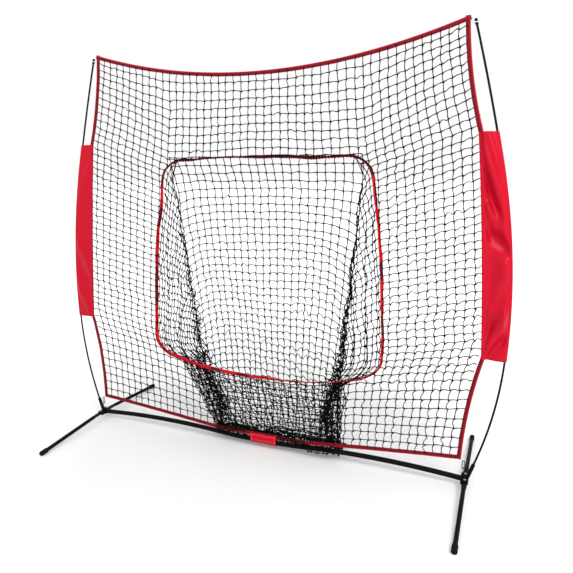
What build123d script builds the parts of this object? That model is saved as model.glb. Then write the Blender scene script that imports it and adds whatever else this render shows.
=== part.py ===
from build123d import *
import os
from math import atan, cos, radians, sin, sqrt

# A free-standing practice net for pitching and hitting. A low steel base carries two bowed
# rods, and the rods stretch a square net with a ball pocket in its middle.
#
# Frame: millimetres, +Z up, +X along the crossbar, -Y towards the player, so the pocket is on
# +Y. The origin is on the floor, under the middle of the crossbar.

# ---- driving dimensions ----

HUB_X = 1065              # middle of the frame to the leg pivots of each hub
BAR_Z = 41                # height of the crossbar's ends, the hubs and the joint above the floor
LEAN = 0.0365             # how far the rods and the net lean back, per unit of height

# Crossbar: two bowed steel tubes, joined on a spigot in the middle.
BAR_RADIUS = 12.5
TUBE_WALL = 1.2
BAR_STRAIGHT = 95         # straight stretch each side of the joint, where the spigot sits
BAR_RISE_RADIUS = 1500
BAR_RISE_ANGLE = 4.5      # the bar climbs at this angle, then arches over to its hub
BAR_GAP = 0.2             # half the gap between the two tubes' ends
SPIGOT_RADIUS = 11.15
SPIGOT_HALF = 80
BUTTON_X = 45
BUTTON_RADIUS = 3.5
BUTTON_PROUD = 2.5
BUTTON_CLEARANCE = 0.075
COLLAR_RADIUS = 4.5
COLLAR_LOW = 7.5          # the button's collar, above the bar's axis
COLLAR_HIGH = 8.5
RIVET_X = -45
RIVET_RADIUS = 2

# Hubs: a steel box between the crossbar's end and the legs.
PIVOT_Y = 28              # each leg pivot stands this far in front of or behind the bar's axis
PLATE = 3
PLATE_GAP = 10            # clear height between the bracket's two plates
BRACKET_HALF_Y = 42
BRACKET_CORNER = 6
WEB_HALF_Y = 14
BOLT_RADIUS = 3
HOLE_RADIUS = 3.05
BOLT_HEX = 10             # across the flats of the bolt heads and nuts
BOLT_HEAD = 4
NUT_HEIGHT = 6
WASHER_RADIUS = 8
WASHER_THICK = 1.4
BAR_END_X = HUB_X - 20    # where the crossbar's tube meets the bracket's web
SOCKET_RADIUS = 9
SOCKET_BORE = 5
LUG_X = HUB_X - 11
TIE_Y = -9                # plane of the lug, hook and loop that hold each lower net corner
LUG_HOLE_Z = 66
LUG_HOLE_RADIUS = 3.4
LUG_HALF_WIDTH = 7

# Legs: steel tubes with a flattened end, sloping down to a rubber foot.
LEG_REACH = 508           # bar axis to the end of a foot
LEG_RADIUS = 10
LEG_END_Z = 11.5          # height of the leg's axis at the end of the foot
TAB_HALF = 12
TAB_THICK = 7
TAB_LENGTH = 42
LEG_TAPER = 28
FOOT_RADIUS = 13
FOOT_LENGTH = 42
FOOT_FLOOR = 6            # rubber beyond the tube's end
SIDE_CLEARANCE = 0.3

# Rods: each one is straight in its socket and then bends in three arcs, tightest at the bottom.
ROD_FOOT_X = 1071         # where the rod's line crosses the height of the hubs
ROD_ANGLE = 19            # degrees from upright, outwards, in the socket
SOCKET_TOP = 84           # distances along the rod, from the height of the hubs
ROD_START = 14
ROD_ARCS = [(1935, 16.2), (3320, 14.8), (10350, 3.3)]
ROD_RADIUS = 4.75
ROD_SECTIONS = 3
FERRULE_RADIUS = 6
FERRULE_LENGTH = 90
FERRULE_CLEARANCE = 0.05
CAP_RADIUS = 6.5
CAP_LENGTH = 26
CAP_FLOOR = 4

# Net: outline corners as (x, z) of the right half.
TOP_CORNER = (971, 2106)
TOP_MIDDLE_Z = 1957
PANEL_TOP = (1050, 1635)
PANEL_BOTTOM = (1119, 650)
LOW_CORNER = (1041, 142)
HEM_FLAT = (260, 72)      # the hem is level along the bar between here and its mirror image
EDGE_PULL = 15            # how far the free side edges are hollowed
HEM_PULL = 40             # how far the hem's rise to each corner is hollowed
NET_THICK = 2
TAPE_THICK = 4
TAPE_WIDTH = 18
NET_BEND_Z = 450          # below this the net comes forward, to pass in front of the bar
NET_HEM_Y = -18
MOUTH_TOP = (582, 1552)
MOUTH_BOTTOM = (662, 470)
MOUTH_SAG_Z = 400
MOUTH_TOP_RADIUS = 125
MOUTH_BOTTOM_RADIUS = 120
MOUTH_TAPE = 12
PANEL_THICK = 2
SLEEVE_RADIUS = 8
SLEEVE_BORE = 6.5
SLEEVE_START = 612        # distances along the rod
SLEEVE_END = 1603

# Pocket: outline half widths at four heights, and the line that its netting follows in Y and Z.
POCKET_OUTLINE = [(530, 1560), (392, 330), (380, 110), (380, 0)]
POCKET_BACK_LINE = [(62, 1535), (98, 1400), (99, 900), (115, 330), (188, 110)]
POCKET_FLOOR_LINE = [(188, 6), (24, 6), (24, 120), (16, 380)]
POCKET_FOLD_RADIUS = 20
# Gussets: at each height, the front and back edges of the right one as (x, y).
GUSSET_EDGES = [
    (1480, (585, 60), (526, 79)),
    (400, (648, 19), (404, 113)),
    (110, (388, 31), (384, 184)),
    (6, (388, 31), (384, 184)),
]

# Loops, hooks and the strap at the middle.
HOOK_WIRE = 1.5
HOOK_BEND = 6
HOOK_TOP_Z = 96
LOOP_CORD = 2
LOOP_BEND = 6
TIP_CORD = 1.5
TIP_LOOP_DROP = 12        # the tip loop sits this far down the rod from its end
LOOP_SLACK = 0.4          # between a loop and what it goes round
STRAP_MIDDLE = 18
STRAP_LENGTH = 152
STRAP_THICK = 2
STRAP_TOP_Z = 88
STRAP_SLACK = 4.5         # between the bar and the middle of the strap's webbing

WIDE = 3000               # longer than anything here, for cutting

# ---- shared geometry ----

ROD_PLANE = Plane(
    origin=(0, 0, BAR_Z),
    x_dir=(1, 0, 0),
    z_dir=(0, -cos(atan(LEAN)), sin(atan(LEAN))),
)


def left(shape):
    """The same piece on the other end of the frame."""
    return mirror(shape, about=Plane.YZ)


def behind(shape):
    """The same piece on the other side of the crossbar."""
    return mirror(shape, about=Plane.XZ)


def across(path, sketch):
    """The sketch, set square across the start of a path."""
    return Plane(origin=path @ 0, z_dir=path % 0) * sketch


def joined(pieces):
    """One wire through the edges of several lines and arcs."""
    return Wire([edge for piece in pieces for edge in piece.edges()])


def cylinder_between(start, end, radius):
    line = Line(start, end)
    return extrude(across(line, Circle(radius)), amount=line.length)


def hex_prism(x, y, z, across_flats, height):
    outline = RegularPolygon(across_flats / sqrt(3), 6)
    return extrude(Pos(x, y, z) * outline, amount=height)


# ---- crossbar ----


def crossbar_tube():
    """The right half, bowed upwards between the joint and the hub."""
    flat = Line((BAR_GAP, BAR_Z), (BAR_STRAIGHT, BAR_Z))
    rise = JernArc(flat @ 1, flat % 1, BAR_RISE_RADIUS, BAR_RISE_ANGLE)
    arch = TangentArc(rise @ 1, (BAR_END_X + TUBE_WALL + PLATE, BAR_Z), tangent=rise % 1)
    path = Plane.XZ * joined([flat, rise, arch])
    outside = sweep(across(path, Circle(BAR_RADIUS)), path)
    inside = sweep(across(path, Circle(BAR_RADIUS - TUBE_WALL)), path)
    end = Plane(origin=(BAR_END_X, 0, 0), z_dir=(1, 0, 0))
    return split(outside - inside, bisect_by=end, keep=Keep.BOTTOM)


def upright(x, low, high, radius):
    """A round pin across the crossbar at x, between two heights above the bar's axis."""
    return cylinder_between((x, 0, BAR_Z + low), (x, 0, BAR_Z + high), radius)


def button_hole():
    return upright(BUTTON_X, 0, 2 * BAR_RADIUS, BUTTON_RADIUS + BUTTON_CLEARANCE)


def rivet_hole():
    return upright(RIVET_X, 0, 2 * BAR_RADIUS, RIVET_RADIUS)


def joining_spigot():
    ends = (-SPIGOT_HALF, 0, BAR_Z), (SPIGOT_HALF, 0, BAR_Z)
    tube = cylinder_between(*ends, SPIGOT_RADIUS)
    tube -= cylinder_between(*ends, SPIGOT_RADIUS - TUBE_WALL)
    return tube - button_hole() - rivet_hole()


def snap_button():
    """A domed pin that stands through spigot and tube, with a collar that keeps it in."""
    dome_radius = 1.5
    pin = upright(BUTTON_X, COLLAR_HIGH, BAR_RADIUS + BUTTON_PROUD, BUTTON_RADIUS)
    pin = fillet(pin.edges().sort_by(Axis.Z)[-1], dome_radius)
    return pin + upright(BUTTON_X, COLLAR_LOW, COLLAR_HIGH, COLLAR_RADIUS)


def snap_spring():
    """A leaf folded into a V, between the collar and the spigot's lower wall."""
    upper, lower, fold, reach = 7.0, -9.0, -1.0, 31
    flat, leaf_thick, leaf_width, bend = 5, 0.6, 6, 2
    points = [(BUTTON_X - flat, upper), (BUTTON_X + flat, upper), (BUTTON_X + reach, fold)]
    points += [(BUTTON_X + flat, lower), (BUTTON_X - flat, lower)]
    leaf = trace(Pos(0, BAR_Z) * FilletPolyline(*points, radius=bend), leaf_thick)
    return extrude(Plane.XZ * leaf, amount=leaf_width / 2, both=True)


def spigot_rivet():
    """A blind rivet that holds the spigot in the left tube."""
    head_base, head_thick, head_round, shank_reach = BAR_RADIUS + 0.05, 1.4, 0.8, 3
    shank = upright(RIVET_X, BAR_RADIUS - shank_reach, head_base, RIVET_RADIUS)
    head = upright(RIVET_X, head_base, head_base + head_thick, 2 * RIVET_RADIUS)
    return shank + fillet(head.edges().sort_by(Axis.Z)[-1], head_round)


# ---- hubs ----


def bracket_plate(z):
    x_low, x_high = BAR_END_X, HUB_X + TAB_HALF + SIDE_CLEARANCE + PLATE
    outline = RectangleRounded(x_high - x_low, 2 * BRACKET_HALF_Y, BRACKET_CORNER)
    return Pos((x_low + x_high) / 2, 0, z) * extrude(outline, amount=PLATE)


def hub_bracket():
    """Two plates, with a web at the bar's end, a stop wall outside the legs, and a lug on top."""
    half = PLATE_GAP / 2
    web_height = 2 * BAR_RADIUS + 1
    wall_x = HUB_X + TAB_HALF + SIDE_CLEARANCE + PLATE / 2
    wall_length = 2 * (BRACKET_HALF_Y - BRACKET_CORNER)
    bracket = bracket_plate(BAR_Z + half) + bracket_plate(BAR_Z - half - PLATE)
    bracket += Pos(BAR_END_X + PLATE / 2, 0, BAR_Z) * Box(PLATE, 2 * WEB_HALF_Y, web_height)
    bracket += Pos(wall_x, 0, BAR_Z) * Box(PLATE, wall_length, PLATE_GAP)
    for y in (-PIVOT_Y, PIVOT_Y):
        bracket -= cylinder_between((HUB_X, y, 0), (HUB_X, y, 2 * BAR_Z), HOLE_RADIUS)
    return bracket + tie_lug()


def tie_lug():
    """An upright tab with a hole for the lower corner's hook."""
    base_z = BAR_Z + PLATE_GAP / 2 + PLATE
    tab = Pos(LUG_X, LUG_HOLE_Z) * Circle(LUG_HALF_WIDTH)
    tab += Pos(LUG_X, (base_z + LUG_HOLE_Z) / 2) * Rectangle(2 * LUG_HALF_WIDTH, LUG_HOLE_Z - base_z)
    tab -= Pos(LUG_X, LUG_HOLE_Z) * Circle(LUG_HOLE_RADIUS)
    return Pos(0, TIE_Y, 0) * extrude(Plane.XZ * tab, amount=PLATE / 2, both=True)


def rod_line(distance):
    """A point on the straight stretch of the rod's line, in the rod plane."""
    turn = radians(ROD_ANGLE)
    return ROD_FOOT_X + distance * sin(turn), distance * cos(turn)


def rod_socket():
    """A tube on the bracket's top plate that leans outwards with the rod."""
    below_plate = -10
    low, high = (ROD_PLANE.from_local_coords(rod_line(d)) for d in (below_plate, SOCKET_TOP))
    tube = cylinder_between(low, high, SOCKET_RADIUS) - cylinder_between(low, high, SOCKET_BORE)
    tube = chamfer(tube.edges().filter_by(GeomType.CIRCLE).group_by(Axis.Z)[-1], 1)
    floor = Plane(origin=(0, 0, BAR_Z + PLATE_GAP / 2 + PLATE), z_dir=(0, 0, 1))
    return split(tube, bisect_by=floor, keep=Keep.TOP)


def four_pivots():
    return [(sx * HUB_X, sy * PIVOT_Y) for sx in (-1, 1) for sy in (-1, 1)]


def pivot_bolts():
    """Four hexagon bolts with rounded head corners, their heads on the top plates."""
    top = BAR_Z + PLATE_GAP / 2 + PLATE
    bottom = BAR_Z - PLATE_GAP / 2 - PLATE - NUT_HEIGHT - 2
    corner_radius = BOLT_HEX / 2 + 0.6
    bolts = []
    for x, y in four_pivots():
        head = hex_prism(x, y, top, BOLT_HEX, BOLT_HEAD)
        head &= cylinder_between((x, y, top), (x, y, top + BOLT_HEAD), corner_radius)
        bolts.append(head + cylinder_between((x, y, bottom), (x, y, top), BOLT_RADIUS))
    return Compound(bolts)


def pivot_lock_nuts():
    low = BAR_Z - PLATE_GAP / 2 - PLATE - NUT_HEIGHT
    nuts = []
    for x, y in four_pivots():
        nut = hex_prism(x, y, low, BOLT_HEX, NUT_HEIGHT)
        nuts.append(nut - cylinder_between((x, y, 0), (x, y, BAR_Z), BOLT_RADIUS))
    return Compound(nuts)


def pivot_washers():
    """A nylon washer above and below each leg's flattened end."""
    ring = extrude(Circle(WASHER_RADIUS) - Circle(HOLE_RADIUS), amount=WASHER_THICK)
    washers = []
    for x, y in four_pivots():
        washers.append(Pos(x, y, BAR_Z + PLATE_GAP / 2 - WASHER_THICK) * ring)
        washers.append(Pos(x, y, BAR_Z - PLATE_GAP / 2) * ring)
    return Compound(washers)


# ---- legs ----

TAB_END_Y = PIVOT_Y + TAB_LENGTH
LEG_SLOPE = atan((BAR_Z - LEG_END_Z) / (LEG_REACH - TAB_END_Y))


def leg_axis(distance):
    """A point of the front right leg's axis, at a distance beyond the flattened end."""
    return HUB_X, -TAB_END_Y - distance * cos(LEG_SLOPE), BAR_Z - distance * sin(LEG_SLOPE)


LEG_AXIS_LENGTH = (LEG_REACH - TAB_END_Y) / cos(LEG_SLOPE)


def leg():
    """The front right leg: a flattened end on the pivot, a taper, and a round tube."""
    tab = Pos(HUB_X, -PIVOT_Y) * Circle(TAB_HALF)
    tab += Pos(HUB_X, -PIVOT_Y - TAB_LENGTH / 2) * Rectangle(2 * TAB_HALF, TAB_LENGTH)
    tab -= Pos(HUB_X, -PIVOT_Y) * Circle(HOLE_RADIUS)
    flattened = Pos(0, 0, BAR_Z - TAB_THICK / 2) * extrude(tab, amount=TAB_THICK)
    tab_end = Plane(origin=leg_axis(0), x_dir=(1, 0, 0), z_dir=(0, -1, 0))
    flat_end = tab_end * Rectangle(2 * TAB_HALF, TAB_THICK)
    along = Line(leg_axis(LEG_TAPER), leg_axis(LEG_AXIS_LENGTH - FOOT_FLOOR))
    round_end = Plane(origin=along @ 0, x_dir=(1, 0, 0), z_dir=along % 0) * Circle(LEG_RADIUS)
    taper = loft([flat_end, round_end])
    tube = cylinder_between(along @ 0, along @ 1, LEG_RADIUS)
    tube -= cylinder_between(along @ 0, along @ 1, LEG_RADIUS - TUBE_WALL)
    return flattened + taper + tube


def foot():
    """The front right rubber foot, a cap over the leg's end with a flat underneath."""
    corner_round = 2.5
    mouth, seat, end = (
        leg_axis(LEG_AXIS_LENGTH - back) for back in (FOOT_LENGTH, FOOT_FLOOR, 0)
    )
    outside = cylinder_between(mouth, end, FOOT_RADIUS)
    outside = fillet(outside.edges().filter_by(GeomType.CIRCLE), corner_round)
    foot_solid = outside - cylinder_between(mouth, seat, LEG_RADIUS)
    return split(foot_solid, bisect_by=Plane.XY, keep=Keep.TOP)


# ---- rods ----


def rod_wire():
    """The right rod's line in the rod plane, from the height of the hubs to its tip."""
    pieces = [Line(rod_line(0), rod_line(SOCKET_TOP))]
    for radius, turn in ROD_ARCS:
        pieces.append(JernArc(pieces[-1] @ 1, pieces[-1] % 1, radius, turn))
    return ROD_PLANE * joined(pieces)


ROD_WIRE = rod_wire()
ROD_LENGTH = ROD_WIRE.length


def rod_span(start, end):
    """The rod's line between two distances along it."""
    return ROD_WIRE.trim(start / ROD_LENGTH, end / ROD_LENGTH)


def round_along(start, end, radius):
    span = rod_span(start, end)
    return sweep(across(span, Circle(radius)), span)


SECTION_LENGTH = (ROD_LENGTH - ROD_START) / ROD_SECTIONS


def rod_joint(number):
    """Distance along the rod to the joint above section number (1 is the lowest section)."""
    return ROD_START + number * SECTION_LENGTH


def rod_section(number):
    return round_along(rod_joint(number - 1), rod_joint(number), ROD_RADIUS)


def rod_ferrule(number):
    start, end = (rod_joint(number) + side * FERRULE_LENGTH / 2 for side in (-1, 1))
    outside = round_along(start, end, FERRULE_RADIUS)
    return outside - round_along(start, end, ROD_RADIUS + FERRULE_CLEARANCE)


def rod_tip_cap():
    tip, along, corner_round = ROD_WIRE @ 1, ROD_WIRE % 1, 3
    bottom = tip - along * (CAP_LENGTH - CAP_FLOOR)
    cap = cylinder_between(bottom, tip + along * CAP_FLOOR, CAP_RADIUS)
    cap = fillet(cap.edges().filter_by(GeomType.CIRCLE).sort_by(Axis.Z)[-1], corner_round)
    return cap - cylinder_between(bottom, tip, ROD_RADIUS + FERRULE_CLEARANCE)


# ---- net ----


def lean_y(z):
    """Depth of the net and the rods at a height."""
    return LEAN * (z - BAR_Z)


def hollow(low, high, pull):
    """An arc between two points, bowed inwards by pull at its middle."""
    middle = ((low[0] + high[0]) / 2 - pull, (low[1] + high[1]) / 2)
    return ThreePointArc(low, middle, high)


def net_outline():
    """The whole net's edge as a face in X and Z, tapes included."""
    right = [
        hollow(PANEL_TOP, TOP_CORNER, EDGE_PULL),
        hollow(PANEL_BOTTOM, PANEL_TOP, -EDGE_PULL / 2),
        hollow(LOW_CORNER, PANEL_BOTTOM, EDGE_PULL),
        hollow(HEM_FLAT, LOW_CORNER, HEM_PULL),
    ]
    mirrored = [mirror(edge, about=Plane.YZ) for edge in right]
    top = ThreePointArc((-TOP_CORNER[0], TOP_CORNER[1]), (0, TOP_MIDDLE_Z), TOP_CORNER)
    hem = Line((-HEM_FLAT[0], HEM_FLAT[1]), HEM_FLAT)
    return make_face(joined(right + mirrored + [top, hem]))


def mouth_outline():
    """The pocket's mouth as a face in X and Z: rounded corners and a sagging lower edge."""
    x_top, z_top = MOUTH_TOP
    x_low, z_low = MOUTH_BOTTOM
    upper = Polyline((-x_low, z_low), (-x_top, z_top), (x_top, z_top), (x_low, z_low))
    sag = ThreePointArc((x_low, z_low), (0, MOUTH_SAG_Z), (-x_low, z_low))
    face = make_face(joined([upper, sag]))
    corners = face.vertices().group_by(Axis.Y)
    face = fillet(corners[-1], MOUTH_TOP_RADIUS)
    low_corners = face.vertices().filter_by(lambda v: abs(v.X) > x_low - 1)
    return fillet(low_corners, MOUTH_BOTTOM_RADIUS)


def front_sheet(outline, thick):
    """An outline in X and Z, laid on the net's leaning surface."""
    depth = WIDE / 10
    line = [(NET_HEM_Y, 0), (lean_y(NET_BEND_Z), NET_BEND_Z), (lean_y(WIDE), WIDE)]
    front = [(y - thick / 2, z) for y, z in line]
    back = [(y + thick / 2, z) for y, z in reversed(line)]
    surface = extrude(Plane.YZ * make_face(Polyline(*front, *back, close=True)), amount=WIDE, both=True)
    return surface & extrude(Plane.XZ * outline, amount=depth, both=True)


def box_outline(x_low, x_high, z_low, z_high):
    return Pos((x_low + x_high) / 2, (z_low + z_high) / 2) * Rectangle(x_high - x_low, z_high - z_low)


OUTLINE = net_outline()
NETTING_OUTLINE = offset(OUTLINE, -TAPE_WIDTH)
EDGE_BAND = OUTLINE - NETTING_OUTLINE
MOUTH = mouth_outline()
MOUTH_INSIDE = offset(MOUTH, -MOUTH_TAPE / 2)
MOUTH_OUTSIDE = offset(MOUTH, MOUTH_TAPE / 2)
TOP_STRIP = box_outline(TAPE_WIDTH - TOP_CORNER[0], TOP_CORNER[0] - TAPE_WIDTH, PANEL_TOP[1], WIDE)
HEM_STRIP = box_outline(TAPE_WIDTH - LOW_CORNER[0], LOW_CORNER[0] - TAPE_WIDTH, 0, PANEL_BOTTOM[1])
RIGHT_HALF = box_outline(0, WIDE, 0, WIDE)


def front_net():
    return front_sheet(NETTING_OUTLINE - MOUTH_OUTSIDE, NET_THICK)


def top_binding():
    return front_sheet(EDGE_BAND & TOP_STRIP, TAPE_THICK)


def bottom_binding():
    return front_sheet(EDGE_BAND & HEM_STRIP, TAPE_THICK)


def side_binding():
    return front_sheet((EDGE_BAND - TOP_STRIP - HEM_STRIP) & RIGHT_HALF, TAPE_THICK)


def mouth_binding():
    return front_sheet(MOUTH_OUTSIDE - MOUTH_INSIDE, TAPE_THICK)


def side_panel():
    """Fabric between the net's edge and the right rod, with a sleeve that the rod runs in."""
    span = rod_span(SLEEVE_START, SLEEVE_END)
    low, middle, high = [(point.X, point.Z) for point in (span @ 0, span @ 0.5, span @ 1)]
    outer = ThreePointArc(low, middle, high)
    inner = hollow(PANEL_BOTTOM, PANEL_TOP, -EDGE_PULL / 2)
    ends = [Line(inner @ 1, outer @ 1), Line(inner @ 0, outer @ 0)]
    cloth = front_sheet(make_face(joined([outer, inner] + ends)), PANEL_THICK)
    sleeve = round_along(SLEEVE_START, SLEEVE_END, SLEEVE_RADIUS)
    past_end = 20
    return cloth + sleeve - round_along(SLEEVE_START - past_end, SLEEVE_END + past_end, SLEEVE_BORE)


# ---- pocket ----


def pocket_net():
    """The pocket's back, floor and front: one strip of netting hung from the mouth's top."""
    mirrored = [(-x, z) for x, z in reversed(POCKET_OUTLINE)]
    outline = Polyline(*POCKET_OUTLINE, *mirrored, close=True)
    line = FilletPolyline(*POCKET_BACK_LINE, *POCKET_FLOOR_LINE, radius=POCKET_FOLD_RADIUS)
    strip = trace(line, NET_THICK)
    surface = extrude(Plane.YZ * strip, amount=WIDE / 4, both=True)
    return surface & extrude(Plane.XZ * make_face(outline), amount=WIDE / 4, both=True)


def gusset_section(z, front, back):
    """A thin strip in a level plane, between two points given as (x, y)."""
    line = Line(front, back)
    side = Vector(line % 0).rotate(Axis.Z, 90) * (NET_THICK / 2)
    a, b = Vector(front), Vector(back)
    return Pos(0, 0, z) * make_face(Polyline(a + side, b + side, b - side, a - side, close=True))


def pocket_gusset():
    """The pocket's right side, from the mouth's edge back to the strip, and down to the floor."""
    sections = [gusset_section(*edges) for edges in GUSSET_EDGES]
    panels = [loft([high, low], ruled=True) for high, low in zip(sections, sections[1:])]
    return panels[0] + panels[1:]


# ---- ties ----


def wire_round(path, radius):
    return sweep(across(path, Circle(radius)), path)


def corner_hook():
    """An open link of wire, through the lug below and round the elastic loop above."""
    low, high, tail = LUG_HOLE_Z + HOOK_BEND, HOOK_TOP_Z, 4
    pieces = [Line((HOOK_BEND, low + tail), (HOOK_BEND, low))]
    pieces.append(JernArc(pieces[-1] @ 1, pieces[-1] % 1, HOOK_BEND, -180))
    pieces.append(Line(pieces[-1] @ 1, (-HOOK_BEND, high)))
    pieces.append(JernArc(pieces[-1] @ 1, pieces[-1] % 1, HOOK_BEND, -180))
    pieces.append(Line(pieces[-1] @ 1, (HOOK_BEND, high - tail)))
    plane = Plane(origin=(LUG_X, TIE_Y, 0), x_dir=(0, 1, 0), z_dir=(1, 0, 0))
    return wire_round(plane * joined(pieces), HOOK_WIRE)


def slot_ring(plane, length, bend, cord):
    """A closed loop of round cord: two straight runs and two half turns, from the plane's origin."""
    runs = [Line((-bend, 0), (-bend, length)), Line((bend, length), (bend, 0))]
    turns = [
        ThreePointArc((-bend, length), (0, length + bend), (bend, length)),
        ThreePointArc((bend, 0), (0, -bend), (-bend, 0)),
    ]
    return wire_round(plane * joined([runs[0], turns[0], runs[1], turns[1]]), cord)


def corner_loop():
    """The elastic loop sewn to the net's lower corner, held down by the hook."""
    below_tape = 2.5
    centre_z = HOOK_TOP_Z + HOOK_BEND - HOOK_WIRE - LOOP_SLACK - LOOP_CORD + LOOP_BEND
    length = LOW_CORNER[1] - below_tape - LOOP_CORD - LOOP_BEND - centre_z
    plane = Plane(origin=(LUG_X, TIE_Y, centre_z), x_dir=(1, 0, 0), z_dir=(0, -1, 0))
    return slot_ring(plane, length, LOOP_BEND, LOOP_CORD)


def tip_loop():
    """The elastic loop sewn to the net's upper corner, round the rod's tip cap."""
    bend = CAP_RADIUS + LOOP_SLACK + TIP_CORD
    centre = ROD_WIRE @ 1 - (ROD_WIRE % 1) * TIP_LOOP_DROP
    tape_edge = TOP_CORNER[0] + 6
    length = centre.X - tape_edge - bend - TIP_CORD
    plane = Plane(origin=centre, x_dir=(0, 1, 0), z_dir=(0, 0, 1))
    return slot_ring(plane, length, bend, TIP_CORD)


def centre_strap():
    """The hook-and-loop strap, sewn behind the hem, round the bar and closed in front."""
    clear = BAR_RADIUS + STRAP_SLACK
    hem_back, hem_low, shoulder = -8, 68, 60
    points = [(hem_back, STRAP_TOP_Z), (hem_back - 0.5, hem_low), (clear, shoulder)]
    points += [(clear, BAR_Z - clear), (-clear, BAR_Z - clear), (-clear, STRAP_TOP_Z)]
    section = trace(FilletPolyline(*points, radius=[3, 12, 11, 12]), STRAP_THICK)
    return Pos(STRAP_MIDDLE, 0, 0) * extrude(Plane.YZ * section, amount=STRAP_LENGTH / 2, both=True)


# ---- all pieces ----


def build():
    tube, leg_solid, foot_solid = crossbar_tube(), leg(), foot()
    parts = {
        "right_crossbar_tube": tube - button_hole(),
        "left_crossbar_tube": left(tube) - rivet_hole(),
        "crossbar_joining_spigot": joining_spigot(),
        "crossbar_snap_button": snap_button(),
        "crossbar_snap_spring": snap_spring(),
        "spigot_rivet": spigot_rivet(),
        "leg_pivot_bolts": pivot_bolts(),
        "leg_pivot_lock_nuts": pivot_lock_nuts(),
        "leg_pivot_washers": pivot_washers(),
        "front_right_leg": leg_solid,
        "front_left_leg": left(leg_solid),
        "back_right_leg": behind(leg_solid),
        "back_left_leg": behind(left(leg_solid)),
        "front_right_foot": foot_solid,
        "front_left_foot": left(foot_solid),
        "back_right_foot": behind(foot_solid),
        "back_left_foot": behind(left(foot_solid)),
        "front_net": front_net(),
        "top_binding": top_binding(),
        "bottom_binding": bottom_binding(),
        "mouth_binding": mouth_binding(),
        "pocket_net": pocket_net(),
        "centre_strap": centre_strap(),
    }
    handed = {
        "hub_bracket": hub_bracket(),
        "rod_socket": rod_socket(),
        "rod_lower_section": rod_section(1),
        "rod_middle_section": rod_section(2),
        "rod_upper_section": rod_section(3),
        "rod_lower_ferrule": rod_ferrule(1),
        "rod_upper_ferrule": rod_ferrule(2),
        "rod_tip_cap": rod_tip_cap(),
        "side_binding": side_binding(),
        "side_panel": side_panel(),
        "pocket_gusset": pocket_gusset(),
        "corner_hook": corner_hook(),
        "corner_loop": corner_loop(),
        "tip_loop": tip_loop(),
    }
    for name, shape in handed.items():
        parts["right_" + name] = shape
        parts["left_" + name] = left(shape)
    return parts


def main():
    os.makedirs("parts", exist_ok=True)
    for name, shape in build().items():
        export_step(shape, f"parts/{name}.step")


main()
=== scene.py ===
"""Looks of a free-standing pitching net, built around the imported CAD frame.

Metres throughout: +X along the crossbar, -Y towards the player, +Z up. The netting is real twine
and knots, the tapes and side panels are cloth, and every outline is read from the CAD nodes.
"""

import math

import bmesh
import bpy
import numpy as np
from mathutils import Matrix, Vector, noise


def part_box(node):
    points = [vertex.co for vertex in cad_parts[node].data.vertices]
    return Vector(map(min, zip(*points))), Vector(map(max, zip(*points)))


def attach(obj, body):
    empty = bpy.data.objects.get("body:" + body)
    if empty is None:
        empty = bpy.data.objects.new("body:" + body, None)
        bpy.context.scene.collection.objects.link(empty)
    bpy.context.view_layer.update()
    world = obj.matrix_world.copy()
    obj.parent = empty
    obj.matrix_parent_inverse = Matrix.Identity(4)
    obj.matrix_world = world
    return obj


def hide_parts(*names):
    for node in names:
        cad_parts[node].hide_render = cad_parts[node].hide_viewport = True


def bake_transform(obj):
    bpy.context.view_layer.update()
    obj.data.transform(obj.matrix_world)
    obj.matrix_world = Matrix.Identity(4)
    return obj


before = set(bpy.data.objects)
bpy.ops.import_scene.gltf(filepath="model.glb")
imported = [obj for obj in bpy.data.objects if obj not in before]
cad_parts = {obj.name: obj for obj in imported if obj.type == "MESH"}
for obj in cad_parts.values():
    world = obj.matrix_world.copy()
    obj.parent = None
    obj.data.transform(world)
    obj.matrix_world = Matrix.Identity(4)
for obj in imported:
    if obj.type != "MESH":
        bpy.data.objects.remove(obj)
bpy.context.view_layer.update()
FRAME_BODY = "frame"
SIDES = {"right": 1, "left": -1}
rng = np.random.default_rng(7)
noise.seed_set(1)         # or mathutils seeds its noise from the clock

# ---- camera ----

# Fitted to the photo by the feet, the hubs, the rods' tips and the net's corners.
CAMERA_AT = (1.1815, -2.4969, 1.4923)
YAW, PITCH, ROLL = math.radians(22.23), math.radians(-12.14), math.radians(-0.70)
LENS, SENSOR = 34.5, 36.0
NEAREST, FARTHEST = 0.05, 100


def new_object(name, data):
    """An object in the scene that shows a mesh, a lamp or a camera."""
    thing = bpy.data.objects.new(name, data)
    bpy.context.scene.collection.objects.link(thing)
    return thing


def make_camera():
    """The camera turns left by YAW, down by PITCH, and rolls about its own line of sight."""
    data = bpy.data.cameras.new("camera")
    data.lens, data.sensor_width = LENS, SENSOR
    data.clip_start, data.clip_end = NEAREST, FARTHEST
    camera = new_object("camera", data)
    upright = Matrix.Rotation(YAW, 4, "Z") @ Matrix.Rotation(math.pi / 2 + PITCH, 4, "X")
    camera.matrix_world = Matrix.Translation(CAMERA_AT) @ upright @ Matrix.Rotation(ROLL, 4, "Z")
    bpy.context.scene.camera = camera


make_camera()

# ---- reading the frame ----


def node_edges(name):
    """A CAD node's points and edges as arrays."""
    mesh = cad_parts[name].data
    points = np.zeros(len(mesh.vertices) * 3)
    mesh.vertices.foreach_get("co", points)
    edges = np.zeros(len(mesh.edges) * 2, int)
    mesh.edges.foreach_get("vertices", edges)
    return points.reshape(-1, 3), edges.reshape(-1, 2)


NODE_EDGES = {}


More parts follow.
